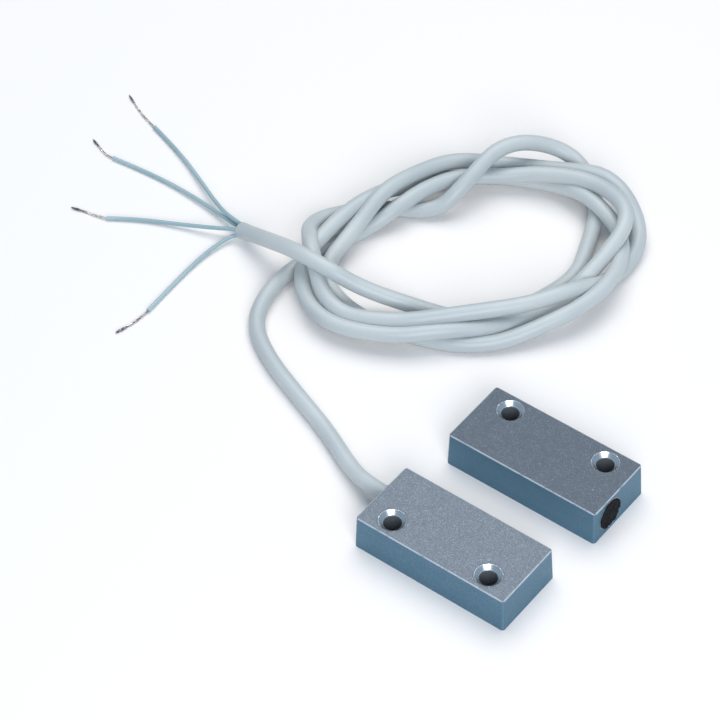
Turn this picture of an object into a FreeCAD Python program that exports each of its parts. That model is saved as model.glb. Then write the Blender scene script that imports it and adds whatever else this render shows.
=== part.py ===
import FreeCAD, Part
import math
import os

# A surface-mounted magnetic door contact: a wired reed sensor, its magnet and the sensor's cable.
# Millimetres. +X runs along both blocks, from the sensor's cable end. +Y runs from the sensor to the
# magnet, and +Z up. The origin is the centre of the sensor's base.

Vec = FreeCAD.Vector

# Both housings are the same casting, turned end for end.
blockLength = 50.0
blockWidth = 23.5
blockHeight = 11.5
sideDraft = 0.4
cornerRadius = 1.0
edgeRadius = 0.4
boreDiameter = 9.3
boreDepth = 41.0
boreTipHeight = 2.7
boreOffset = 4.05
boreHeight = 5.7
screwSpacing = 32.0
screwOffset = 6.1
screwHoleDiameter = 5.1
countersinkDiameter = 7.7
countersinkDepth = (countersinkDiameter - screwHoleDiameter) / 2
potRecess = 0.4

# The magnet lies beside the sensor at its open distance.
magnetCentreX = 2.3
magnetCentreY = 39.0
magnetRodDiameter = 8.0
magnetRodLength = 34.0
magnetRodInset = 5.0

# The reed switch, on the sensor's bore axis.
reedCentreX = 2.0
glassLength = 14.0
glassDiameter = 2.2
glassWall = 0.3
sealLength = 1.5
bladeWidth = 1.0
bladeThickness = 0.2
bladeOverlap = 1.6
bladeRootGap = 0.06
contactGap = 0.12
leadDiameter = 0.6
nearLeadLength = 4.5
farLeadReach = 4.5
farLeadBend = 1.0
sleeveDiameter = 3.1
sleeveNearEnd = -12.0
sleeveFarEnd = 11.5
solderDiameter = 1.9
solderLength = 2.0
tamperBeadDiameter = 2.7
bypassOffset = 2.9
tamperHeight = -2.9

# The cable: four cores in one jacket.
cableDiameter = 4.8
coreDiameter = 1.25
conductorDiameter = 0.6
coreSpread = 0.85
jacketInside = 6.5

# The jacketed lead, from inside the bore to the coil, and the tail that leaves the coil.
leadRoute = [(-18.5, 4.05, 5.7), (-31, 4.05, 5.2), (-41, 7.5, 3.1), (-55, 15, 2.4), (-71, 21, 2.4),
             (-86, 27, 2.4), (-98, 35, 2.4), (-103, 47, 2.4), (-103, 61, 2.4)]
tailRoute = [(-88, 55, 14.7), (-100, 56.5, 14.4), (-113, 60, 8.5), (-124.5, 62.5, 3.3)]

# The free cores, each from the jacket's end to its stripped end, and the bare conductor beyond it.
coreRoutes = [
    [(-124.3, 63.3, 4.1), (-135, 65.6, 3.2), (-148, 72.2, 1.9), (-163, 79.4, 0.9), (-177, 83.8, 0.65)],
    [(-124.3, 63.2, 2.5), (-136, 65.3, 1.7), (-149, 67, 1), (-164, 67.2, 0.65), (-178.2, 65.6, 0.65)],
    [(-124.3, 61.7, 4.1), (-132, 58.9, 2.8), (-143, 54.8, 1.2), (-154.5, 49.8, 0.65), (-162.5, 44.4, 0.65)],
    [(-124.3, 61.6, 2.5), (-127.2, 57, 1.8), (-128.9, 48, 0.9), (-128.4, 35, 0.65), (-127.4, 22.2, 0.65)],
]
conductorRoutes = [
    [(-177, 83.8, 0.65), (-182, 85.3, 0.5), (-187.5, 87.7, 0.4), (-192.4, 90.2, 0.4)],
    [(-178.2, 65.6, 0.65), (-181, 65.4, 0.5), (-184.6, 66.9, 0.4), (-188.2, 68.2, 0.4)],
    [(-162.5, 44.4, 0.65), (-166, 43.4, 0.5), (-170.1, 42.9, 0.4), (-173.7, 41.9, 0.4)],
    [(-127.4, 22.2, 0.65), (-127.5, 18.4, 0.5), (-128.1, 14.4, 0.4), (-129.2, 10.7, 0.4)],
]

# The coil: loose turns of cable lying in an oval ring.
coilCentre = Vec(-64, 97, 0)
coilLongRadius = 56.0
coilShortRadius = 41.0
coilBandWidth = 20.0
coilTurn = 55.0
coilHeight = 16.5
coilEdgeRadius = 3.0


def cylinder(diameter, start, end):
    """A round rod between two points."""
    run = end - start
    return Part.makeCylinder(diameter / 2, run.Length, start, run)


def roundedPath(points, label):
    """Straight runs joined by tangent arcs, each as large as its two runs allow."""
    corners = [Vec(*point) for point in points]
    edges = []
    start = corners[0]
    radii = []
    for before, corner, after in zip(corners, corners[1:], corners[2:]):
        arriving = corner - before
        leaving = after - corner
        turn = arriving.getAngle(leaving)
        setback = 0.45 * min(arriving.Length, leaving.Length)
        radius = setback / math.tan(turn / 2)
        radii.append(radius)
        arriving.normalize()
        leaving.normalize()
        arcStart = corner - arriving * setback
        arcEnd = corner + leaving * setback
        inward = leaving - arriving
        inward.normalize()
        centre = corner + inward * (radius / math.cos(turn / 2))
        arcMiddle = centre - inward * radius
        edges.append(Part.LineSegment(start, arcStart).toShape())
        edges.append(Part.Arc(arcStart, arcMiddle, arcEnd).toShape())
        start = arcEnd
    edges.append(Part.LineSegment(start, corners[-1]).toShape())
    print(label, "radii", [round(radius, 1) for radius in radii])
    return Part.Wire(edges)


def tube(points, diameter, label):
    """A solid round cord along a rounded path, with its volume compared with section times length."""
    path = roundedPath(points, label)
    direction = Vec(*points[1]) - Vec(*points[0])
    section = Part.Wire(Part.makeCircle(diameter / 2, Vec(*points[0]), direction))
    solid = path.makePipeShell([section], True, False)
    expected = math.pi * diameter ** 2 / 4 * path.Length
    print(label, "length", round(path.Length, 1), "volume ratio", round(solid.Volume / expected, 4))
    return solid


def boreSolid(endX):
    """What fills the blind bore, from endX to the drilled tip."""
    bottom = boreDepth - blockLength / 2
    start = Vec(endX, boreOffset, boreHeight)
    straight = cylinder(boreDiameter, start, Vec(bottom, boreOffset, boreHeight))
    tipRadius = boreDiameter / 2
    tip = Part.makeCone(tipRadius, 0, boreTipHeight, Vec(bottom, boreOffset, boreHeight), Vec(1, 0, 0))
    return straight.fuse(tip).removeSplitter()


def housing():
    """A drafted block with rounded edges, a blind bore and two countersunk screw holes."""
    halfX = blockLength / 2
    halfY = blockWidth / 2
    # makeWedge tapers along its own Y, so the block is made lying down and stood up.
    block = Part.makeWedge(-halfX, 0, -halfY, -halfY + sideDraft, -halfX + sideDraft,
                           halfX, blockHeight, halfY, halfY - sideDraft, halfX - sideDraft)
    block.rotate(Vec(0, 0, 0), Vec(1, 0, 0), 90)
    upright = [edge for edge in block.Edges if edge.BoundBox.ZLength > blockHeight / 2]
    block = block.makeFillet(cornerRadius, upright)
    rim = [edge for edge in block.Edges if edge.BoundBox.ZMin > blockHeight - 0.01]
    block = block.makeFillet(edgeRadius, rim)
    block = block.cut(boreSolid(-halfX - 1))
    for side in (-1, 1):
        foot = Vec(side * screwSpacing / 2, -screwOffset, -1)
        block = block.cut(Part.makeCylinder(screwHoleDiameter / 2, blockHeight + 2, foot))
        sinkFoot = Vec(foot.x, foot.y, blockHeight - countersinkDepth)
        sink = Part.makeCone(screwHoleDiameter / 2, countersinkDiameter / 2, countersinkDepth, sinkFoot)
        block = block.cut(sink)
    return block


def onReedAxis(x, y=0.0, z=0.0):
    """A point given from the bore's axis."""
    return Vec(x, boreOffset + y, boreHeight + z)


def reedGlass():
    """A glass tube with its two ends melted shut round the leads."""
    start = reedCentreX - glassLength / 2
    end = reedCentreX + glassLength / 2
    glass = cylinder(glassDiameter, onReedAxis(start), onReedAxis(end))
    ends = [edge for edge in glass.Edges if edge.BoundBox.XLength < 0.01]
    glass = glass.makeFillet(glassDiameter / 4, ends)
    hollowDiameter = glassDiameter - 2 * glassWall
    hollow = cylinder(hollowDiameter, onReedAxis(start + sealLength), onReedAxis(end - sealLength))
    leads = cylinder(leadDiameter, onReedAxis(start - 1), onReedAxis(end + 1))
    return glass.cut(hollow).cut(leads)


def reedBlade(side):
    """One flat spring blade. side is -1 for the blade at the cable end, and 1 for the far one."""
    root = reedCentreX + side * (glassLength / 2 - sealLength - bladeRootGap)
    tip = reedCentreX - side * bladeOverlap / 2
    innerFace = side * contactGap / 2
    low = onReedAxis(min(root, tip), -bladeWidth / 2, min(innerFace, innerFace + side * bladeThickness))
    return Part.makeBox(abs(root - tip), bladeWidth, bladeThickness, low)


def nearLead():
    """The round lead at the cable end, out through its seal."""
    seal = reedCentreX - glassLength / 2
    return cylinder(leadDiameter, onReedAxis(seal - nearLeadLength), onReedAxis(seal + sealLength))


def farLead():
    """The round lead at the far end, bent down beside the sleeve to meet its core."""
    seal = reedCentreX + glassLength / 2
    turnX = seal + farLeadReach
    straight = cylinder(leadDiameter, onReedAxis(seal - sealLength), onReedAxis(turnX - farLeadBend))
    corner = Part.makeTorus(farLeadBend, leadDiameter / 2, onReedAxis(turnX - farLeadBend, -farLeadBend),
                            Vec(0, 0, 1), -180, 180, 90)
    leg = cylinder(leadDiameter, onReedAxis(turnX, -farLeadBend), onReedAxis(turnX, -bypassOffset))
    return straight.fuse(corner).fuse(leg).removeSplitter()


def reedSleeve():
    """The insulating sleeve shrunk over the glass and the near joint."""
    outer = cylinder(sleeveDiameter, onReedAxis(sleeveNearEnd), onReedAxis(sleeveFarEnd))
    return outer.cut(cylinder(glassDiameter, onReedAxis(sleeveNearEnd), onReedAxis(sleeveFarEnd)))


def innerCores():
    """The four cores inside the bore: two to the reed, and two joined as the tamper loop."""
    jacketEnd = jacketInside - blockLength / 2
    nearJoint = reedCentreX - glassLength / 2 - nearLeadLength
    farJoint = reedCentreX + glassLength / 2 + farLeadReach - solderLength / 2
    spreads = (coreSpread, -coreSpread)
    starts = [onReedAxis(jacketEnd, y, z) for z in spreads for y in spreads]
    toNear = [starts[0], onReedAxis(jacketEnd + 3, 0.4, 0.4), onReedAxis(sleeveNearEnd + 0.5),
              onReedAxis(nearJoint)]
    toFar = [starts[1], onReedAxis(jacketEnd + 3, -1.6, 0.6), onReedAxis(sleeveNearEnd, -bypassOffset),
             onReedAxis(farJoint, -bypassOffset)]
    tamperEnd = jacketEnd + 6
    tamper = [[starts[2], onReedAxis(jacketEnd + 3, 1.7, -1.9), onReedAxis(tamperEnd, 1.7, tamperHeight)],
              [starts[3], onReedAxis(jacketEnd + 3, -0.1, -1.9), onReedAxis(tamperEnd, 0.4, tamperHeight)]]
    return [tube([tuple(point) for point in route], coreDiameter, "inner_core_%d" % number)
            for number, route in enumerate([toNear, toFar] + tamper, 1)]


def solderJoints(wires):
    """Three beads of solder: on the near lead, on the far lead, and on the tamper loop."""
    nearJoint = reedCentreX - glassLength / 2 - nearLeadLength
    farJoint = reedCentreX + glassLength / 2 + farLeadReach
    tamperJoint = jacketInside - blockLength / 2 + 6
    reach = solderLength / 2
    beads = [cylinder(solderDiameter, onReedAxis(nearJoint - reach), onReedAxis(nearJoint + reach)),
             cylinder(solderDiameter, onReedAxis(farJoint - reach, -bypassOffset),
                      onReedAxis(farJoint + reach, -bypassOffset)),
             cylinder(tamperBeadDiameter, onReedAxis(tamperJoint - reach, 1.05, tamperHeight),
                      onReedAxis(tamperJoint + reach, 1.05, tamperHeight))]
    for wire in wires:
        beads = [bead.cut(wire) for bead in beads]
    return Part.makeCompound([bead.Solids[0] for bead in beads])


def sensorPotting(inside):
    """Black resin that fills the bore round the sleeve, the cores, the joints and the cable's end."""
    potting = boreSolid(potRecess - blockLength / 2)
    for shape in inside:
        potting = potting.cut(shape)
    return max(potting.Solids, key=lambda solid: solid.Volume)


def placeMagnet(shape):
    """Turns a shape of the sensor's frame end for end and sets it in the magnet's place."""
    shape = shape.copy()
    shape.rotate(Vec(0, 0, 0), Vec(0, 0, 1), 180)
    shape.translate(Vec(magnetCentreX, magnetCentreY, 0))
    return shape


def magnetRod():
    start = magnetRodInset - blockLength / 2
    return cylinder(magnetRodDiameter, onReedAxis(start), onReedAxis(start + magnetRodLength))


def cableCoil():
    """The outer shape of the loose turns: an oval ring with rounded edges."""
    ring = Part.Ellipse(Vec(0, 0, 0), coilLongRadius, coilShortRadius)
    hole = Part.Ellipse(Vec(0, 0, 0), coilLongRadius - coilBandWidth, coilShortRadius - coilBandWidth)
    solids = []
    for outline in (ring, hole):
        face = Part.Face(Part.Wire(outline.toShape()))
        solids.append(face.extrude(Vec(0, 0, coilHeight)))
    band = solids[0].cut(solids[1])
    rims = [edge for edge in band.Edges if edge.BoundBox.ZMin > coilHeight - 0.01]
    band = band.makeFillet(coilEdgeRadius, rims)
    band.rotate(Vec(0, 0, 0), Vec(0, 0, 1), coilTurn)
    band.translate(coilCentre)
    return band


def buildNodes():
    """Every separate piece, by node name."""
    nodes = {"sensor_housing": housing()}
    nodes["reed_glass"] = reedGlass()
    nodes["reed_blade_near"] = reedBlade(-1)
    nodes["reed_blade_far"] = reedBlade(1)
    nodes["reed_lead_near"] = nearLead()
    nodes["reed_lead_far"] = farLead()
    nodes["reed_sleeve"] = reedSleeve()
    cores = innerCores()
    for number, core in enumerate(cores, 1):
        nodes["inner_core_%d" % number] = core
    nodes["solder_joints"] = solderJoints(cores + [nodes["reed_lead_near"], nodes["reed_lead_far"]])
    nodes["cable_lead"] = tube(leadRoute, cableDiameter, "cable_lead")
    sleeveFill = cylinder(sleeveDiameter, onReedAxis(sleeveNearEnd), onReedAxis(sleeveFarEnd))
    inside = cores + [sleeveFill, nodes["cable_lead"], nodes["reed_lead_far"]]
    nodes["sensor_potting"] = sensorPotting(inside + nodes["solder_joints"].Solids)
    nodes["cable_coil"] = cableCoil()
    nodes["cable_tail"] = tube(tailRoute, cableDiameter, "cable_tail")
    for number, route in enumerate(coreRoutes, 1):
        nodes["core_%d" % number] = tube(route, coreDiameter, "core_%d" % number)
    for number, route in enumerate(conductorRoutes, 1):
        nodes["conductor_%d" % number] = tube(route, conductorDiameter, "conductor_%d" % number)
    nodes["magnet_housing"] = placeMagnet(housing())
    nodes["magnet_rod"] = placeMagnet(magnetRod())
    nodes["magnet_potting"] = placeMagnet(boreSolid(potRecess - blockLength / 2).cut(magnetRod()))
    return nodes


os.makedirs("parts", exist_ok=True)
for name, shape in buildNodes().items():
    state = "valid" if shape.isValid() else "NOT VALID"
    print(name, state, "solids", len(shape.Solids), "mm3", round(shape.Volume, 2))
    shape.exportStep("parts/%s.step" % name)
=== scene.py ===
import bpy
import math
from mathutils import Matrix, Vector, noise


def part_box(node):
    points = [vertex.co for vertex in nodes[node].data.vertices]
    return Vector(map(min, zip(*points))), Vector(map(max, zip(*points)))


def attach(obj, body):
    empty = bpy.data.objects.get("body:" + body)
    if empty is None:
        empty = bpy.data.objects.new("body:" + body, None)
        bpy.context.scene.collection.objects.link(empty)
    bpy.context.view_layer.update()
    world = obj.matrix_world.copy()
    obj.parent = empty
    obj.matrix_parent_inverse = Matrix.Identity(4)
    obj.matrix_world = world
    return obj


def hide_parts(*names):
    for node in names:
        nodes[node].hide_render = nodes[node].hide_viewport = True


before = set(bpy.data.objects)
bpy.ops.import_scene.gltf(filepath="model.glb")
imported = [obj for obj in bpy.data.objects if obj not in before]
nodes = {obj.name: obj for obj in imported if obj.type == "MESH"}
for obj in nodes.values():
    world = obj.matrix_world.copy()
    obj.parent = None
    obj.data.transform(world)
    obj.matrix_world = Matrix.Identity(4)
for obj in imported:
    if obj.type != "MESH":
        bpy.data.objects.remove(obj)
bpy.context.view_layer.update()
scene = bpy.context.scene
scene.view_settings.view_transform = "Standard"
print("frame loaded,", len(nodes), "nodes")


def only(obj):
    # selects one object and nothing else, and makes it active
    bpy.ops.object.select_all(action="DESELECT")
    obj.select_set(True)
    bpy.context.view_layer.objects.active = obj


def settle(obj, name, body, material):
    # puts the object's place into its mesh, names it, dresses it and lets it ride
    only(obj)
    bpy.ops.object.transform_apply(location=True, rotation=True, scale=True)
    obj.name = obj.data.name = name
    obj.data.materials.clear()
    obj.data.materials.append(material)
    bpy.ops.object.shade_smooth_by_angle(angle=math.radians(40))
    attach(obj, body)


def roughen(obj, values):
    # raises and sinks the surface by soft random lumps
    texture = bpy.data.textures.new(obj.name, "CLOUDS")
    texture.noise_scale = values["lumpSize"]
    texture.noise_depth = values["lumpDepth"]
    lumps = obj.modifiers.new("lumps", "DISPLACE")
    lumps.texture = texture
    lumps.strength = values["lumpHeight"]
    lumps.direction = values["lumpDirection"]
    bpy.ops.object.modifier_apply(modifier="lumps")


# The camera looks down on the blocks from their front right.
cameraValues = {
    "aim": (-0.0659, 0.0439, 0),
    "azimuth": 38.98,
    "elevation": 46.90,
    "roll": -1.86,
    "distance": 0.897,
    "lens": 155.94,
    "clip": (0.01, 50),
}


def makeCamera(values):
    azimuth, elevation, roll = (math.radians(values[key]) for key in ("azimuth", "elevation", "roll"))
    back = Vector((math.sin(azimuth) * math.cos(elevation), -math.cos(azimuth) * math.cos(elevation),
                   math.sin(elevation)))
    side = Vector((math.cos(azimuth), math.sin(azimuth), 0))
    top = back.cross(side)
    right = side * math.cos(roll) + top * math.sin(roll)
    up = back.cross(right)
    camera = bpy.data.objects.new("camera", bpy.data.cameras.new("camera"))
    scene.collection.objects.link(camera)
    camera.matrix_world = Matrix.Translation(Vector(values["aim"]) + back * values["distance"]) @ Matrix(
        (right, up, back)).transposed().to_4x4()
    camera.data.lens = values["lens"]
    camera.data.clip_start, camera.data.clip_end = values["clip"]
    scene.camera = camera


makeCamera(cameraValues)
print("camera made")


def routeCurve(name, points, resolution):
    # one smooth spline steered by given points
    curve = bpy.data.curves.new(name, "CURVE")
    curve.dimensions = "3D"
    curve.resolution_u = resolution
    spline = curve.splines.new("NURBS")
    spline.points.add(len(points) - 1)
    for target, point in zip(spline.points, points):
        target.co = (*point, 1)
    spline.order_u = 3
    spline.use_endpoint_u = True
    obj = bpy.data.objects.new(name, curve)
    scene.collection.objects.link(obj)
    return obj


def centreline(obj):
    # the points that the spline itself gives, end to end
    mesh = bpy.data.meshes.new_from_object(obj.evaluated_get(bpy.context.evaluated_depsgraph_get()))
    line = [vertex.co.copy() for vertex in mesh.vertices]
    bpy.data.meshes.remove(mesh)
    return line


def lineLength(line):
    return sum((after - before).length for before, after in zip(line, line[1:]))


def closedTube(obj):
    # turns a bevelled curve into a mesh with flat closed ends
    only(obj)
    bpy.ops.object.convert(target="MESH")
    bpy.ops.object.mode_set(mode="EDIT")
    bpy.ops.mesh.select_all(action="SELECT")
    bpy.ops.mesh.fill_holes(sides=0)
    bpy.ops.mesh.select_all(action="SELECT")
    bpy.ops.mesh.normals_make_consistent(inside=False)
    bpy.ops.object.mode_set(mode="OBJECT")
    return bpy.context.object


def cordTube(name, points, values):
    # a round mesh tube along the route, and the line down its middle
    obj = routeCurve(name, points, values["resolution"])
    line = centreline(obj)
    obj.data.bevel_depth = values["diameter"] / 2
    obj.data.bevel_resolution = values["sides"]
    return closedTube(obj), line


# The cable: from the bore, round four loose turns, and over them to its stripped end.
cableValues = {
    "diameter": 0.0048,
    "resolution": 10,
    "sides": 10,
    "wall": 0.0007,
    "lip": 0.000175,
    "mouthDepth": 0.0035,
    "flare": 1.07,
    "raggedness": 0.00012,
    "raggedSeed": 3,
    "coilCentre": (-0.0626, 0.0952),
    "exit": (-0.025, 0.00405, 0.0057),
}
leadRoute = [
    (-0.0185, 0.00405, 0.0057), (-0.031, 0.00405, 0.0052), (-0.041, 0.0075, 0.0031),
    (-0.055, 0.015, 0.0024), (-0.071, 0.021, 0.0024), (-0.086, 0.027, 0.0024), (-0.098, 0.035, 0.0024),
    (-0.103, 0.047, 0.0024), (-0.103, 0.061, 0.0024), (-0.0995, 0.0745, 0.0024), (-0.0953, 0.086, 0.0024),
]
tailRoute = [
    (-0.087, 0.056, 0.0151), (-0.099, 0.0566, 0.0148), (-0.1125, 0.06, 0.0085), (-0.1245, 0.0625, 0.0033),
]

# Each turn clockwise, sixteen points to the round, the last turn two points short: how far out each point is
# in millimetres, and how many cable diameters its underside lies above the table.
coilReach = [
    [28.5, 28.5, 31, 32.5, 37.3, 44, 47.5, 37, 31, 30, 31.5, 35.5, 45, 54.5, 53, 42],
    [36.5, 35.5, 35, 35.5, 38, 40, 44.5, 43.5, 41, 36.5, 36, 36.5, 38, 43, 46.5, 36],
    [33.5, 34.5, 39.2, 40.6, 41.7, 49, 51.5, 42, 35, 31, 29.3, 31.7, 40, 50, 48.5, 51],
    [36, 22, 23.5, 39.5, 51.5, 44, 34, 31, 26.5, 25, 26, 25.5, 27.5, 38],
]
coilLayer = [
    [0.9, 1, 0.8, 0.6, 1.2, 1.8, 2.2, 1.1, 0.1, 0, 0.5, 1, 0.8, 0.6, 0.8, 1.3],
    [1.2, 0.1, 0, 0, 0.2, 1.2, 0.6, 1.1, 1.2, 0.6, 0, 0, 0, 0, 0.1, 0.9],
    [1.8, 1.3, 0.7, 0.1, 0.8, 2.0, 0.1, 0, 1.6, 1.6, 1.6, 1.5, 1.2, 0.7, 2.45, 0.8],
    [0, 0, 1.4, 2.6, 0.9, 0, 0, 0, 0, 0, 0, 0, 0.3, 1.4],
]


def coilPoints(values):
    centreX, centreY = values["coilCentre"]
    points = []
    for reaches, layers in zip(coilReach, coilLayer):
        for step, (reach, layer) in enumerate(zip(reaches, layers)):
            bearing = math.pi - step * math.tau / len(coilReach[0])
            x = centreX + reach / 1000 * math.cos(bearing)
            y = centreY + reach / 1000 * math.sin(bearing)
            points.append((x, y, values["diameter"] * (0.5 + layer)))
    return points


def selectFace(obj, index):
    # goes into edit mode with only this face selected
    bpy.ops.object.mode_set(mode="EDIT")
    bpy.ops.mesh.select_mode(type="FACE")
    bpy.ops.mesh.select_all(action="DESELECT")
    bpy.ops.object.mode_set(mode="OBJECT")
    obj.data.polygons[index].select = True
    bpy.ops.object.mode_set(mode="EDIT")


def openEnd(obj, end, values):
    # flares and roughens the tube's flat cap nearest to end, and sinks it, so that the jacket shows its wall
    only(obj)
    caps = [face for face in obj.data.polygons if len(face.vertices) > 4]
    cap = min(caps, key=lambda face: (face.center - Vector(end)).length)
    inward = -cap.normal.copy()
    selectFace(obj, cap.index)
    bpy.ops.transform.resize(value=[values["flare"]] * 3)
    bpy.ops.transform.vertex_random(offset=values["raggedness"], seed=values["raggedSeed"])
    bpy.ops.mesh.inset(thickness=values["lip"])
    bpy.ops.mesh.inset(thickness=values["wall"] - values["lip"])
    bpy.ops.mesh.extrude_region_move(TRANSFORM_OT_translate={"value": inward * values["mouthDepth"]})
    bpy.ops.object.mode_set(mode="OBJECT")


cableRoute = leadRoute + coilPoints(cableValues) + tailRoute
cable, cableLine = cordTube("cable", cableRoute, cableValues)
openEnd(cable, tailRoute[-1], cableValues)
print("cable made,", round(lineLength(cableLine), 3), "m")

# The four free cores, from inside the jacket's mouth to where each is stripped, and their bare strands.
coreValues = {
    "diameter": 0.00125,
    "resolution": 12,
    "sides": 6,
}
coreRoutes = [
    [(-0.1214, 0.0627, 0.0053), (-0.1262, 0.0638, 0.0039), (-0.135, 0.0656, 0.0032), (-0.148, 0.0722, 0.0019),
     (-0.163, 0.0794, 0.0009), (-0.177, 0.0838, 0.00065)],
    [(-0.1214, 0.0625, 0.0037), (-0.1268, 0.0636, 0.0023), (-0.136, 0.0653, 0.0017), (-0.149, 0.067, 0.001),
     (-0.164, 0.0672, 0.00065), (-0.1782, 0.0656, 0.00065)],
    [(-0.1214, 0.0610, 0.0053), (-0.1262, 0.0615, 0.0037), (-0.132, 0.0589, 0.0028), (-0.143, 0.0548, 0.0012),
     (-0.1545, 0.0498, 0.00065), (-0.1625, 0.0444, 0.00065)],
    [(-0.1214, 0.0609, 0.0037), (-0.1257, 0.0612, 0.0022), (-0.1276, 0.057, 0.0015), (-0.1289, 0.048, 0.0009),
     (-0.1284, 0.035, 0.00065), (-0.1274, 0.0222, 0.00065)],
]
conductorRoutes = [
    [(-0.177, 0.0838, 0.00065), (-0.182, 0.0853, 0.0005),
     (-0.1875, 0.0877, 0.0004), (-0.1924, 0.0902, 0.0004)],
    [(-0.1782, 0.0656, 0.00065), (-0.181, 0.0654, 0.0005),
     (-0.1846, 0.0669, 0.0004), (-0.1882, 0.0682, 0.0004)],
    [(-0.1625, 0.0444, 0.00065), (-0.166, 0.0434, 0.0005),
     (-0.1701, 0.0429, 0.0004), (-0.1737, 0.0419, 0.0004)],
    [(-0.1274, 0.0222, 0.00065), (-0.1275, 0.0184, 0.0005),
     (-0.1281, 0.0144, 0.0004), (-0.1292, 0.0107, 0.0004)],
]

cores = []
coreLines = []
for number, route in enumerate(coreRoutes, 1):
    core, coreLine = cordTube("free_core_%d" % number, route, coreValues)
    cores.append(core)
    coreLines.append(coreLine)
print("cores made,", [round(lineLength(line), 4) for line in coreLines])

strandValues = {
    "count": 7,
    "wire": 0.00017,
    "lay": 0.0045,
    "spread": 0.00019,
    "looseness": 0.9,
    "driftSteps": (3.1, 4, 900),
    "guideResolution": 16,
    "wireResolution": 3,
    "wireSides": 2,
}
tipValues = {
    "length": 0.0044,
    "diameter": 0.00072,
    "setBack": 0.32,
    "lift": 0.00005,
    "sides": 20,
    "rings": 14,
    "lumpSize": 0.0005,
    "lumpDepth": 2,
    "lumpHeight": 0.00016,
    "lumpDirection": "NORMAL",
}


def carriedNormals(line):
    # a direction across the line that doesn't twist as it goes along
    across = Vector((0, 0, 1))
    found = []
    for before, after in zip([line[0]] + line[:-1], line[1:] + [line[-1]]):
        along = (after - before).normalized()
        across = (across - along * across.dot(along)).normalized()
        found.append((across, along.cross(across)))
    return found


def twistedStrands(name, points, values):
    # a bundle of fine wires wound round a middle one, opening a little towards the tip
    guide = routeCurve(name + "_guide", points, values["guideResolution"])
    line = centreline(guide)
    bpy.data.objects.remove(guide)
    curve = bpy.data.curves.new(name, "CURVE")
    curve.dimensions = "3D"
    curve.resolution_u = values["wireResolution"]
    curve.bevel_depth = values["wire"] / 2
    curve.bevel_resolution = values["wireSides"]
    sides = carriedNormals(line)
    total = lineLength(line)
    wireStep, lengthStep, coreStep = values["driftSteps"]
    for wire in range(values["count"]):
        spline = curve.splines.new("NURBS")
        spline.points.add(len(line) - 1)
        travelled = 0
        for index, (point, (across, other)) in enumerate(zip(line, sides)):
            if index:
                travelled += (point - line[index - 1]).length
            share = travelled / total
            turn = math.tau * (wire / values["count"] + travelled / values["lay"])
            drift = noise.noise(Vector((wire * wireStep, share * lengthStep, points[0][0] * coreStep)))
            out = values["spread"] * (1 + values["looseness"] * share * drift) if wire else 0.0
            place = point + across * (out * math.cos(turn)) + other * (out * math.sin(turn))
            spline.points[index].co = (*place, 1)
        spline.order_u = 3
        spline.use_endpoint_u = True
    obj = bpy.data.objects.new(name, curve)
    scene.collection.objects.link(obj)
    return closedTube(obj), line


def solderTip(name, line, values):
    # the tinned blob at a bundle's end: a ball drawn out along the bundle and roughened
    direction = (line[-1] - line[-6]).normalized()
    middle = line[-1] - direction * (values["length"] * values["setBack"]) + Vector((0, 0, values["lift"]))
    turned = direction.to_track_quat("Z", "Y").to_euler()
    bpy.ops.object.select_all(action="DESELECT")
    bpy.ops.mesh.primitive_uv_sphere_add(segments=values["sides"], ring_count=values["rings"],
                                         radius=values["diameter"] / 2, location=middle, rotation=turned)
    tip = bpy.context.object
    tip.name = name
    tip.scale = (1, 1, values["length"] / values["diameter"])
    bpy.ops.object.transform_apply(location=True, rotation=True, scale=True)
    roughen(tip, values)
    return tip


strands = []
tips = []
for number, route in enumerate(conductorRoutes, 1):
    bundle, bundleLine = twistedStrands("free_strands_%d" % number, route, strandValues)
    strands.append(bundle)
    tips.append(solderTip("strand_tip_%d" % number, bundleLine, tipValues))
print("strands made")


# Node trees are written through these few helpers.
def addNode(tree, kind, inputs=None, **settings):
    made = tree.nodes.new(kind)
    for key, value in settings.items():
        setattr(made, key, value)
    for key, value in (inputs or {}).items():
        if isinstance(value, bpy.types.NodeSocket):
            tree.links.new(value, made.inputs[key])
        else:
            made.inputs[key].default_value = value
    return made


def maths(tree, operation, *values):
    return addNode(tree, "ShaderNodeMath", dict(enumerate(values)), operation=operation).outputs[0]


def vectorMaths(tree, operation, *values):
    # its first output is a vector, and "Value" is a length
    return addNode(tree, "ShaderNodeVectorMath", dict(enumerate(values)), operation=operation).outputs


def ramp(tree, value, low, high, start=0.0, end=1.0):
    # start below low, end above high, and a smooth step between them
    limits = {"Value": value, "From Min": low, "From Max": high, "To Min": start, "To Max": end}
    return addNode(tree, "ShaderNodeMapRange", limits, interpolation_type="SMOOTHSTEP").outputs["Result"]


def mixColour(tree, mask, below, above):
    sockets = {0: mask}
    for socket, colour in ((6, below), (7, above)):
        sockets[socket] = colour if isinstance(colour, bpy.types.NodeSocket) else (*colour, 1)
    return addNode(tree, "ShaderNodeMix", sockets, data_type="RGBA").outputs[2]


def mixValue(tree, mask, below, above):
    return addNode(tree, "ShaderNodeMix", {0: mask, 2: below, 3: above}, data_type="FLOAT").outputs[0]


def noiseAt(tree, position, scale, detail=3.0, roughness=0.55, distortion=0.0):
    settings = {"Vector": position, "Scale": scale, "Detail": detail, "Roughness": roughness,
                "Distortion": distortion}
    return addNode(tree, "ShaderNodeTexNoise", settings).outputs["Fac"]


def makeGroup(name, inputs, outputs):
    # an empty node group with named sockets, and its two ends
    tree = bpy.data.node_groups.new(name, "ShaderNodeTree")
    for label, kind in inputs:
        tree.interface.new_socket(label, in_out="INPUT", socket_type="NodeSocket" + kind)
    for label in outputs:
        tree.interface.new_socket(label, in_out="OUTPUT", socket_type="NodeSocketFloat")
    return tree, tree.nodes.new("NodeGroupInput").outputs, tree.nodes.new("NodeGroupOutput").inputs


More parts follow.
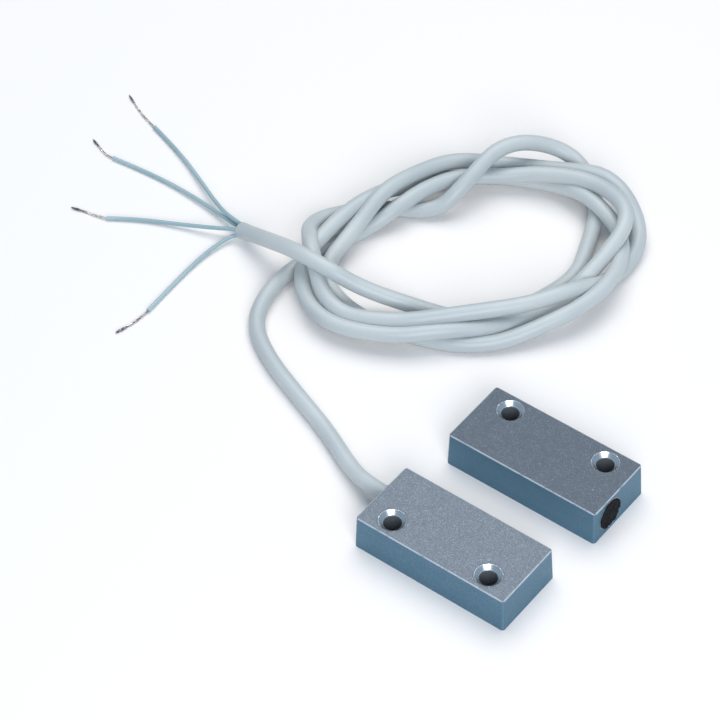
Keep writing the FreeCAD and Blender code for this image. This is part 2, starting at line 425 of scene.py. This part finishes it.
def distanceGroup():
    # how far a point is from a line: Across is 1 on the axes that count and 0 on the line's own
    tree, given, result = makeGroup("distanceToLine", [("Position", "Vector"), ("Point", "Vector"),
                                                       ("Across", "Vector")], ["Distance"])
    apart = vectorMaths(tree, "SUBTRACT", given["Position"], given["Point"])[0]
    flat = vectorMaths(tree, "MULTIPLY", apart, given["Across"])[0]
    tree.links.new(vectorMaths(tree, "LENGTH", flat)["Value"], result["Distance"])
    return tree


wearValues = {
    "broadScale": 260.0,
    "broadShare": 0.6,
    "fineScale": 1900.0,
    "fineShare": 0.5,
    "edge": (0.55, 0.8),
}


def edgeWearGroup(values):
    # bare edges on a block with leaning sides: two of its three outsides are near, and the rub is uneven
    tree, given, result = makeGroup(
        "edgeWear", [("Position", "Vector"), ("Centre", "Vector"), ("Half", "Vector"), ("Lean", "Float"),
                     ("Width", "Float"), ("Amount", "Float")], ["Mask", "Rub"])
    position = given["Position"]
    local = vectorMaths(tree, "SUBTRACT", position, given["Centre"])[0]
    reach = addNode(tree, "ShaderNodeSeparateXYZ", {0: vectorMaths(tree, "ABSOLUTE", local)[0]}).outputs
    height = addNode(tree, "ShaderNodeSeparateXYZ", {0: position}).outputs["Z"]
    half = addNode(tree, "ShaderNodeSeparateXYZ", {0: given["Half"]}).outputs
    lean = maths(tree, "MULTIPLY", height, given["Lean"])
    near = []
    for axis in ("X", "Y", "Z"):
        inside = maths(tree, "SUBTRACT", half[axis], reach[axis])
        if axis != "Z":
            inside = maths(tree, "SUBTRACT", inside, lean)
        near.append(ramp(tree, inside, 0.0, given["Width"], 1.0, 0.0))
    pairs = [maths(tree, "MULTIPLY", near[0], near[1]), maths(tree, "MULTIPLY", near[0], near[2]),
             maths(tree, "MULTIPLY", near[1], near[2])]
    edge = maths(tree, "MAXIMUM", maths(tree, "MAXIMUM", pairs[0], pairs[1]), pairs[2])
    broadNoise = noiseAt(tree, position, values["broadScale"], 2.0)
    fineNoise = noiseAt(tree, position, values["fineScale"], 4.0, 0.7)
    broadRub = maths(tree, "MULTIPLY", broadNoise, values["broadShare"])
    fineRub = maths(tree, "MULTIPLY", fineNoise, values["fineShare"])
    rub = maths(tree, "ADD", broadRub, fineRub)
    uneven = ramp(tree, maths(tree, "ADD", rub, given["Amount"]), *values["edge"])
    tree.links.new(maths(tree, "MULTIPLY", edge, uneven), result["Mask"])
    tree.links.new(rub, result["Rub"])
    return tree


def grainGroup():
    # three sizes of unevenness for any surface: Fine and Coarse from 0 to 1, and sparse Specks
    tree, given, result = makeGroup("grain", [("Position", "Vector"), ("Scale", "Float")],
                                    ["Fine", "Coarse", "Specks"])
    fineScale = maths(tree, "MULTIPLY", given["Scale"], 9.0)
    cells = addNode(tree, "ShaderNodeTexVoronoi", {"Vector": given["Position"], "Scale": fineScale})
    speck = maths(tree, "MULTIPLY", ramp(tree, cells.outputs["Distance"], 0.1, 0.3, 1.0, 0.0),
                  ramp(tree, noiseAt(tree, given["Position"], given["Scale"]), 0.56, 0.66))
    tree.links.new(noiseAt(tree, given["Position"], fineScale, 3.0, 0.6), result["Fine"])
    tree.links.new(noiseAt(tree, given["Position"], given["Scale"], 3.0), result["Coarse"])
    tree.links.new(speck, result["Specks"])
    return tree


def scuffGroup():
    # rubbed marks in patches: Stretch draws them out, and Amount makes them more
    tree, given, result = makeGroup("scuffs", [("Position", "Vector"), ("Stretch", "Vector"),
                                               ("Amount", "Float")], ["Mask"])
    drawn = vectorMaths(tree, "MULTIPLY", given["Position"], given["Stretch"])[0]
    lines = noiseAt(tree, drawn, 1.0, 4.0, 0.6, 0.4)
    patches = ramp(tree, noiseAt(tree, given["Position"], 90.0, 2.0), 0.5, 0.64)
    mark = ramp(tree, maths(tree, "ADD", lines, given["Amount"]), 0.66, 0.72)
    tree.links.new(maths(tree, "MULTIPLY", mark, patches), result["Mask"])
    return tree


distanceTree = distanceGroup()
edgeTree = edgeWearGroup(wearValues)
grainTree = grainGroup()
scuffTree = scuffGroup()


def groupNode(tree, group, inputs):
    return addNode(tree, "ShaderNodeGroup", inputs, node_tree=group).outputs


def newMaterial(name):
    # a material with only its Principled shader, and the object's own coordinates
    material = bpy.data.materials.new(name)
    material.use_nodes = True
    tree = material.node_tree
    shader = tree.nodes["Principled BSDF"]
    coordinates = tree.nodes.new("ShaderNodeTexCoord").outputs
    return material, tree, shader, coordinates


def bump(tree, shader, height, distance):
    raised = addNode(tree, "ShaderNodeBump", {"Height": height, "Distance": distance, "Strength": 1.0})
    tree.links.new(raised.outputs[0], shader.inputs["Normal"])


# what a plain finish may also set, and the shader's name for it
plainSockets = {
    "metallic": "Metallic",
    "specular": "Specular IOR Level",
    "transmission": "Transmission Weight",
    "refraction": "IOR",
}


def plainFinish(name, values):
    # a material with mottling, specks and grain, for moulded, drawn and cast pieces
    material, tree, shader, coordinates = newMaterial(name)
    grain = groupNode(tree, grainTree, {"Position": coordinates["Object"], "Scale": values["scale"]})
    colour = mixColour(tree, ramp(tree, grain["Coarse"], 0.35, 0.65), values["dark"], values["light"])
    specks = maths(tree, "MULTIPLY", grain["Specks"], values["specks"])
    colour = mixColour(tree, specks, colour, values["speckColour"])
    tree.links.new(colour, shader.inputs["Base Color"])
    tree.links.new(mixValue(tree, grain["Fine"], *values["roughness"]), shader.inputs["Roughness"])
    for key, socket in plainSockets.items():
        if key in values:
            shader.inputs[socket].default_value = values[key]
    bump(tree, shader, maths(tree, "ADD", grain["Fine"], grain["Coarse"]), values["relief"])
    return material


# The blocks: a speckled blue-grey metallic coat, rubbed through along the edges and cut through by the drill,
# with painted light and shade in its colour.
coatValues = {
    # top and side: painted light and shade, greyer where the top is lit and blue where the sides take a
    # painted shaded reflection
    "top": (0.145, 0.175, 0.215),
    "side": (0.062, 0.165, 0.245),
    "pale": (0.34, 0.38, 0.43),
    "deep": (0.075, 0.09, 0.115),
    "bare": (0.74, 0.78, 0.82),
    # worn: the rubbed-through edges, nicks and bore rim, real wear painted paler than bare metal as a painted
    # edge highlight
    "wornAndHighlit": (0.78, 0.84, 0.90),
    # a darker ring round each countersink
    "sinkDarkRing": (0.085, 0.10, 0.12),
    # wall: painted shade inside the screw holes
    "wall": (0.12, 0.135, 0.15),
    "metallic": 0.35,
    "wallMetallic": 0.1,
    "roughness": (0.36, 0.52),
    "bareRoughness": 0.27,
    "wallRoughness": 0.5,
    "grainScale": 330.0,
    "flakeScale": 5600.0,
    "nickScale": 420.0,
    "nickEdge": (0.73, 0.77),
    "wearWidth": 0.00045,
    "wearAmount": 0.24,
    "rimWearEdge": (0.5, 0.62),
    "shadedSideToLitTop": (0.15, 0.9),
    "flakesLitFromAbove": (-0.2, 0.9, 0.35, 1.0),
    "lightFlakes": (0.75, 1.0, 0.0, 0.6),
    "darkFlakes": (0.0, 0.35, 0.65, 0.0),
    "blotches": (0.35, 0.7, 0.0, 0.05),
    "sinkDarkRingStrength": 0.6,
    "relief": 0.00005,
    "grainRelief": 0.8,
    "flakeRelief": 0.3,
    "coatRelief": 0.6,
    "sinkSmoothness": 0.12,
    "toolMarkPitch": 21000.0,
    "toolMarkRelief": 0.06,
    "screwSpacing": 0.032,
    "screwOffset": 0.0061,
    "sinkRadius": 0.00385,
    "holeRadius": 0.00255,
    "boreOffset": 0.00405,
    "boreHeight": 0.0057,
    "boreRadius": 0.00465,
    "cutUnevenness": 0.0003,
    "cutWobble": 1400.0,
    "sinkEdge": (-0.00002, 0.00016),
    "sinkDarkRingEdge": (0.0001, 0.0006),
    "wallEdge": (0.00008, 0.0003),
    "rimEdge": (0.0, 0.00035),
    "draft": 0.0004,
}
# the magnet's coat is the same alloy, painted a little darker on top as painted shade
shadedMagnetCoatValues = {**coatValues, "top": (0.075, 0.097, 0.127), "pale": (0.22, 0.26, 0.31)}


def aroundCut(tree, distance, radius, edge):
    # 1 within a cut of this radius, fading out between the two distances past its edge
    return ramp(tree, distance, radius + edge[0], radius + edge[1], 1.0, 0.0)


def drillMasks(tree, position, centre, facing, values):
    # where the drill has been: distance from the nearer screw hole, countersinks, darker rings round them,
    # walls, and bore rim
    wobble = maths(tree, "SUBTRACT", noiseAt(tree, position, values["cutWobble"]), 0.5)
    wobble = maths(tree, "MULTIPLY", wobble, values["cutUnevenness"])
    radii = []
    for side in (-1, 1):
        hole = (centre.x + side * values["screwSpacing"] / 2, centre.y - facing * values["screwOffset"], 0)
        spot = {"Position": position, "Point": hole, "Across": (1, 1, 0)}
        radii.append(groupNode(tree, distanceTree, spot)["Distance"])
    radius = maths(tree, "ADD", maths(tree, "MINIMUM", *radii), wobble)
    bore = (centre.x, centre.y + facing * values["boreOffset"], values["boreHeight"])
    spot = {"Position": position, "Point": bore, "Across": (0, 1, 1)}
    boreDistance = maths(tree, "ADD", groupNode(tree, distanceTree, spot)["Distance"], wobble)
    along = addNode(tree, "ShaderNodeSeparateXYZ", {0: position}).outputs["X"]
    towardsBore = maths(tree, "MULTIPLY", maths(tree, "SUBTRACT", along, centre.x), -facing)
    boreEnd = maths(tree, "GREATER_THAN", towardsBore, 0.0)
    rim = aroundCut(tree, boreDistance, values["boreRadius"], values["rimEdge"])
    return {
        "radius": radius,
        "sink": aroundCut(tree, radius, values["sinkRadius"], values["sinkEdge"]),
        "sinkDarkRing": aroundCut(tree, radius, values["sinkRadius"], values["sinkDarkRingEdge"]),
        "wall": aroundCut(tree, radius, values["holeRadius"], values["wallEdge"]),
        "rim": maths(tree, "MULTIPLY", rim, boreEnd),
    }


def coatColour(tree, coordinates, grain, flake, values):
    # the coat where it is whole, with painted light and shade by facing: greyer on the lit top, blue on the
    # sides as a painted shaded reflection, and light and dark metal flakes painted stronger on upward faces
    # as painted sparkle
    upright = addNode(tree, "ShaderNodeSeparateXYZ", {0: coordinates["Normal"]}).outputs["Z"]
    colour = mixColour(tree, ramp(tree, upright, *values["shadedSideToLitTop"]), values["side"], values["top"])
    litFromAbove = ramp(tree, upright, *values["flakesLitFromAbove"])
    lightFlakes = maths(tree, "MULTIPLY", ramp(tree, flake, *values["lightFlakes"]), litFromAbove)
    darkFlakes = maths(tree, "MULTIPLY", ramp(tree, flake, *values["darkFlakes"]), litFromAbove)
    colour = mixColour(tree, lightFlakes, colour, values["pale"])
    colour = mixColour(tree, darkFlakes, colour, values["deep"])
    blotches = ramp(tree, grain["Coarse"], *values["blotches"])
    return mixColour(tree, blotches, colour, values["pale"])


def coatRelief(tree, grain, flake, bare, cuts, values):
    # grain, flakes and the coat's own thickness, with the drill's fine rings in the countersinks
    fine = maths(tree, "MULTIPLY", grain["Fine"], values["grainRelief"])
    relief = maths(tree, "ADD", fine, maths(tree, "MULTIPLY", flake, values["flakeRelief"]))
    relief = maths(tree, "MULTIPLY", relief, mixValue(tree, cuts["sink"], 1.0, values["sinkSmoothness"]))
    coated = maths(tree, "SUBTRACT", 1.0, bare)
    relief = maths(tree, "ADD", relief, maths(tree, "MULTIPLY", coated, values["coatRelief"]))
    rings = maths(tree, "SINE", maths(tree, "MULTIPLY", cuts["radius"], values["toolMarkPitch"]))
    toolMarks = maths(tree, "MULTIPLY", rings, cuts["sink"])
    return maths(tree, "ADD", relief, maths(tree, "MULTIPLY", toolMarks, values["toolMarkRelief"]))


def alloyCoat(name, node, facing, values):
    # facing is 1 for the sensor, and -1 for the magnet, which is turned end for end
    low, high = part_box(node)
    centre = (low + high) / 2
    half = (high - low) / 2
    material, tree, shader, coordinates = newMaterial(name)
    position = coordinates["Object"]
    cuts = drillMasks(tree, position, centre, facing, values)
    grain = groupNode(tree, grainTree, {"Position": position, "Scale": values["grainScale"]})
    cells = addNode(tree, "ShaderNodeTexVoronoi", {"Vector": position, "Scale": values["flakeScale"]})
    flake = addNode(tree, "ShaderNodeSeparateXYZ", {0: cells.outputs["Color"]}).outputs["X"]

    edges = groupNode(tree, edgeTree, {"Position": position, "Centre": (centre.x, centre.y, 0),
                                       "Half": (half.x, half.y, high.z), "Lean": values["draft"] / high.z,
                                       "Width": values["wearWidth"], "Amount": values["wearAmount"]})
    nicks = ramp(tree, noiseAt(tree, position, values["nickScale"], 3.0, 0.7), *values["nickEdge"])
    rimWear = maths(tree, "MULTIPLY", cuts["rim"], ramp(tree, edges["Rub"], *values["rimWearEdge"]))
    wornAndHighlit = maths(tree, "MAXIMUM", maths(tree, "MAXIMUM", edges["Mask"], nicks), rimWear)
    bare = maths(tree, "MAXIMUM", wornAndHighlit, cuts["sink"])

    colour = coatColour(tree, coordinates, grain, flake, values)
    # a darker ring round each countersink
    ringDarkening = maths(tree, "MULTIPLY", cuts["sinkDarkRing"], values["sinkDarkRingStrength"])
    colour = mixColour(tree, ringDarkening, colour, values["sinkDarkRing"])
    colour = mixColour(tree, cuts["sink"], colour, values["bare"])
    # the rubbed edges, nicks and bore rim: real wear, painted paler than bare metal as a painted highlight
    colour = mixColour(tree, wornAndHighlit, colour, values["wornAndHighlit"])
    # painted shade inside the screw holes
    colour = mixColour(tree, cuts["wall"], colour, values["wall"])
    tree.links.new(colour, shader.inputs["Base Color"])

    roughness = mixValue(tree, grain["Fine"], *values["roughness"])
    roughness = mixValue(tree, cuts["sink"], roughness, values["bareRoughness"])
    roughness = mixValue(tree, cuts["wall"], roughness, values["wallRoughness"])
    tree.links.new(roughness, shader.inputs["Roughness"])
    metal = mixValue(tree, cuts["sink"], values["metallic"], 1.0)
    tree.links.new(mixValue(tree, cuts["wall"], metal, values["wallMetallic"]), shader.inputs["Metallic"])
    bump(tree, shader, coatRelief(tree, grain, flake, bare, cuts, values), values["relief"])
    return material


def dress(node, material):
    # gives a CAD piece its material
    obj = nodes[node]
    if obj.material_slots:
        obj.material_slots[0].material = material
    else:
        obj.data.materials.append(material)


dress("sensor_housing", alloyCoat("sensorCoat", "sensor_housing", 1, coatValues))
dress("magnet_housing", alloyCoat("magnetCoat", "magnet_housing", -1, shadedMagnetCoatValues))
print("blocks dressed")

# The jacket: satin blue-grey vinyl with draw lines along it, faint mottling and rubbed marks.
jacketLook = {
    "light": (0.53, 0.565, 0.57),
    "dark": (0.46, 0.50, 0.515),
    "mark": (0.32, 0.37, 0.41),
    "roughness": (0.30, 0.46),
}
vinylValues = {
    "lineStretch": (60, 5200, 1),
    "lineShade": 0.25,
    "grainScale": 160.0,
    "mottleScale": 28.0,
    "rubStretch": (900, 260, 1),
    "rubAmount": 0.03,
    "rubStrength": 0.35,
    "dirtStrength": 0.35,
    "markRoughness": 0.62,
    "relief": 0.00004,
}


def cordVinyl(name, look, values, length, diameter):
    material, tree, shader, coordinates = newMaterial(name)
    # UV in metres: along the cord, and round it
    metres = {"Vector": coordinates["UV"], "Scale": (length, math.pi * diameter, 1)}
    unrolled = addNode(tree, "ShaderNodeMapping", metres).outputs[0]
    stretched = {"Vector": unrolled, "Scale": values["lineStretch"]}
    lines = noiseAt(tree, addNode(tree, "ShaderNodeMapping", stretched).outputs[0], 1.0, 3.0, 0.6)
    grain = groupNode(tree, grainTree, {"Position": coordinates["Object"], "Scale": values["grainScale"]})
    broad = noiseAt(tree, coordinates["Object"], values["mottleScale"], 2.0)
    colour = mixColour(tree, ramp(tree, broad, 0.38, 0.62), look["dark"], look["light"])
    colour = mixColour(tree, ramp(tree, lines, 0.4, 0.7, 0.0, values["lineShade"]), colour, look["dark"])
    rubbed = groupNode(tree, scuffTree, {"Position": unrolled, "Stretch": values["rubStretch"],
                                         "Amount": values["rubAmount"]})["Mask"]
    rubbed = maths(tree, "MULTIPLY", rubbed, values["rubStrength"])
    dirt = maths(tree, "MULTIPLY", grain["Specks"], values["dirtStrength"])
    marks = maths(tree, "MAXIMUM", rubbed, dirt)
    colour = mixColour(tree, marks, colour, look["mark"])
    tree.links.new(colour, shader.inputs["Base Color"])
    roughness = mixValue(tree, grain["Fine"], *look["roughness"])
    roughness = mixValue(tree, marks, roughness, values["markRoughness"])
    tree.links.new(roughness, shader.inputs["Roughness"])
    fine = maths(tree, "MULTIPLY", grain["Fine"], 0.5)
    bump(tree, shader, maths(tree, "ADD", maths(tree, "MULTIPLY", lines, 0.5), fine), values["relief"])
    return material


jacket = cordVinyl("cableJacket", jacketLook, vinylValues, lineLength(cableLine), cableValues["diameter"])
settle(cable, "cable", "sensor", jacket)
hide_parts("cable_lead", "cable_coil", "cable_tail")
print("cable dressed")

coreLook = {
    "light": (0.36, 0.48, 0.52),
    "dark": (0.29, 0.41, 0.45),
    "mark": (0.25, 0.34, 0.38),
    "roughness": (0.26, 0.40),
}
strandLook = {
    "dark": (0.26, 0.22, 0.21),
    "light": (0.84, 0.81, 0.77),
    "speckColour": (0.16, 0.13, 0.12),
    "specks": 0.7,
    "scale": 900.0,
    "roughness": (0.22, 0.42),
    "relief": 0.00002,
    "metallic": 1.0,
}
tipLook = {
    "dark": (0.07, 0.075, 0.10),
    "light": (0.34, 0.36, 0.40),
    "speckColour": (0.04, 0.045, 0.06),
    "specks": 0.8,
    "scale": 1300.0,
    "roughness": (0.25, 0.5),
    "relief": 0.00004,
    "metallic": 1.0,
}
strandMetal = plainFinish("tinnedCopper", strandLook)
tipMetal = plainFinish("solderedTip", tipLook)
for number, (core, line, bundle, tip) in enumerate(zip(cores, coreLines, strands, tips), 1):
    vinyl = cordVinyl("coreVinyl%d" % number, coreLook, vinylValues, lineLength(line),
                      coreValues["diameter"])
    settle(core, "free_core_%d" % number, "sensor", vinyl)
    settle(bundle, "free_strands_%d" % number, "sensor", strandMetal)
    settle(tip, "strand_tip_%d" % number, "sensor", tipMetal)
    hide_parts("core_%d" % number)
    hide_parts("conductor_%d" % number)
print("cores and strands dressed")

# The inside of the blocks, and the resin that shows at their bores.
resinLook = {
    "dark": (0.004, 0.004, 0.005),
    "light": (0.014, 0.014, 0.016),
    "speckColour": (0.05, 0.05, 0.055),
    "specks": 0.3,
    "scale": 420.0,
    "roughness": (0.7, 0.95),
    "relief": 0.0003,
    "specular": 0.2,
}
sleeveLook = {
    "dark": (0.015, 0.015, 0.017),
    "light": (0.03, 0.03, 0.034),
    "speckColour": (0.08, 0.08, 0.085),
    "specks": 0.25,
    "scale": 300.0,
    "roughness": (0.35, 0.55),
    "relief": 0.00003,
}
innerCoreLook = {
    "dark": (0.31, 0.45, 0.51),
    "light": (0.40, 0.54, 0.60),
    "speckColour": (0.2, 0.29, 0.33),
    "specks": 0.3,
    "scale": 300.0,
    "roughness": (0.28, 0.42),
    "relief": 0.00002,
}
solderLook = {
    "dark": (0.42, 0.43, 0.45),
    "light": (0.62, 0.63, 0.65),
    "speckColour": (0.2, 0.2, 0.21),
    "specks": 0.5,
    "scale": 700.0,
    "roughness": (0.2, 0.4),
    "relief": 0.00004,
    "metallic": 1.0,
}
reedLook = {
    "dark": (0.52, 0.52, 0.50),
    "light": (0.66, 0.66, 0.63),
    "speckColour": (0.4, 0.38, 0.34),
    "specks": 0.4,
    "scale": 800.0,
    "roughness": (0.24, 0.36),
    "relief": 0.00001,
    "metallic": 1.0,
}
magnetLook = {
    "dark": (0.24, 0.24, 0.25),
    "light": (0.36, 0.36, 0.37),
    "speckColour": (0.12, 0.11, 0.11),
    "specks": 0.6,
    "scale": 260.0,
    "roughness": (0.3, 0.5),
    "relief": 0.00006,
    "metallic": 1.0,
}
glassLook = {
    "dark": (0.80, 0.92, 0.86),
    "light": (0.88, 0.97, 0.92),
    "speckColour": (0.7, 0.8, 0.75),
    "specks": 0.2,
    "scale": 240.0,
    "roughness": (0.02, 0.08),
    "relief": 0.000004,
    "transmission": 1.0,
    "refraction": 1.5,
}
resin = plainFinish("blackResin", resinLook)
reedMetal = plainFinish("reedMetal", reedLook)
innerVinyl = plainFinish("innerCoreVinyl", innerCoreLook)
for node in ("sensor_potting", "magnet_potting"):
    dress(node, resin)
for node in ("reed_blade_near", "reed_blade_far", "reed_lead_near", "reed_lead_far"):
    dress(node, reedMetal)
for number in range(1, 5):
    dress("inner_core_%d" % number, innerVinyl)
dress("reed_glass", plainFinish("reedGlass", glassLook))
dress("reed_sleeve", plainFinish("sleevePlastic", sleeveLook))
dress("solder_joints", plainFinish("solder", solderLook))
dress("magnet_rod", plainFinish("magnetAlloy", magnetLook))
print("inside dressed")

# The ragged face of the resin in the magnet's bore.
plugValues = {
    "place": (0.02712, 0.03495, 0.0057),
    "radius": 0.0046,
    "depth": 0.0005,
    "sides": 48,
    "cuts": 7,
    "lumpSize": 0.0011,
    "lumpDepth": 3,
    "lumpHeight": 0.0008,
    "lumpDirection": "X",
}


def borePlug(values):
    bpy.ops.object.select_all(action="DESELECT")
    bpy.ops.mesh.primitive_cylinder_add(vertices=values["sides"], radius=values["radius"],
                                        depth=values["depth"], end_fill_type="TRIFAN",
                                        location=values["place"], rotation=(0, math.radians(90), 0))
    plug = bpy.context.object
    bpy.ops.object.transform_apply(location=True, rotation=True, scale=True)
    bpy.ops.object.mode_set(mode="EDIT")
    bpy.ops.mesh.select_all(action="SELECT")
    bpy.ops.mesh.subdivide(number_cuts=values["cuts"])
    bpy.ops.object.mode_set(mode="OBJECT")
    roughen(plug, values)
    return plug


plug = borePlug(plugValues)
settle(plug, "magnet_bore_plug", "magnet", resin)

# The ring of resin round the cable at the sensor's bore.
sealValues = {
    "place": (-0.0249, 0.00405, 0.0057),
    "radius": 0.00345,
    "thickness": 0.00115,
    "flatness": 0.5,
    "sides": 96,
    "ringSides": 20,
    "lumpSize": 0.0013,
    "lumpDepth": 3,
    "lumpHeight": 0.0005,
    "lumpDirection": "NORMAL",
}


def boreSeal(values):
    bpy.ops.object.select_all(action="DESELECT")
    bpy.ops.mesh.primitive_torus_add(major_segments=values["sides"], minor_segments=values["ringSides"],
                                     major_radius=values["radius"], minor_radius=values["thickness"],
                                     location=values["place"], rotation=(0, math.radians(90), 0))
    seal = bpy.context.object
    seal.scale = (1, 1, values["flatness"])
    bpy.ops.object.transform_apply(location=True, rotation=True, scale=True)
    roughen(seal, values)
    return seal


seal = boreSeal(sealValues)
settle(seal, "sensor_bore_seal", "sensor", resin)
print("bore resin made")

# The floor, the lights and the pale room.
floorValues = {
    "size": 60,
    "colour": (0.90, 0.86, 0.84),
    "roughness": 0.7,
    "glowStart": 0.3,
    "glowEnd": 1.4,
    "glow": 0.55,
}


def makeFloor(values):
    bpy.ops.object.select_all(action="DESELECT")
    bpy.ops.mesh.primitive_plane_add(size=values["size"])
    floor = bpy.context.object
    floor.name = "floor"
    material, tree, shader, coordinates = newMaterial("paleFloor")
    shader.inputs["Roughness"].default_value = values["roughness"]
    shader.inputs["Base Color"].default_value = (*values["colour"], 1)
    # the floor far from the part glows, so that it stays pale out to the horizon
    away = vectorMaths(tree, "LENGTH", coordinates["Object"])["Value"]
    glow = ramp(tree, away, values["glowStart"], values["glowEnd"], 0.0, values["glow"])
    shader.inputs["Emission Color"].default_value = (1, 1, 1, 1)
    tree.links.new(glow, shader.inputs["Emission Strength"])
    floor.data.materials.append(material)
    return floor


floor = makeFloor(floorValues)

roomValues = {
    "sky": (0.60, 0.80, 1.0),
    "skyStrength": 0.42,
    "seen": (0.95, 0.96, 0.97),
    "seenStrength": 1.0,
}


def makeRoom(values):
    # the pieces are lit by the sky colour, and the camera sees the paler one
    world = bpy.data.worlds.new("room")
    scene.world = world
    world.use_nodes = True
    tree = world.node_tree
    fill = tree.nodes["Background"]
    fill.inputs["Color"].default_value = (*values["sky"], 1)
    fill.inputs["Strength"].default_value = values["skyStrength"]
    seen = addNode(tree, "ShaderNodeBackground", {"Color": (*values["seen"], 1),
                                                  "Strength": values["seenStrength"]})
    ray = tree.nodes.new("ShaderNodeLightPath").outputs["Is Camera Ray"]
    chosen = addNode(tree, "ShaderNodeMixShader", {0: ray, 1: fill.outputs[0], 2: seen.outputs[0]})
    tree.links.new(chosen.outputs[0], tree.nodes["World Output"].inputs["Surface"])


makeRoom(roomValues)

lightValues = {
    "overhead": {"place": (-0.25, 0.35, 0.9), "size": 0.9, "power": 7.0, "colour": (1.0, 0.97, 0.93)},
    "front": {"place": (0.55, -0.5, 0.55), "size": 0.5, "power": 6.0, "colour": (0.93, 0.96, 1.0)},
}


def makeLight(name, values, aim):
    light = bpy.data.lights.new(name, "AREA")
    light.size = values["size"]
    light.energy = values["power"]
    light.color = values["colour"]
    lamp = bpy.data.objects.new(name, light)
    scene.collection.objects.link(lamp)
    lamp.location = values["place"]
    lamp.rotation_euler = (Vector(aim) - lamp.location).to_track_quat("-Z", "Y").to_euler()


for name, values in lightValues.items():
    makeLight(name, values, cameraValues["aim"])
print("room and lights made")
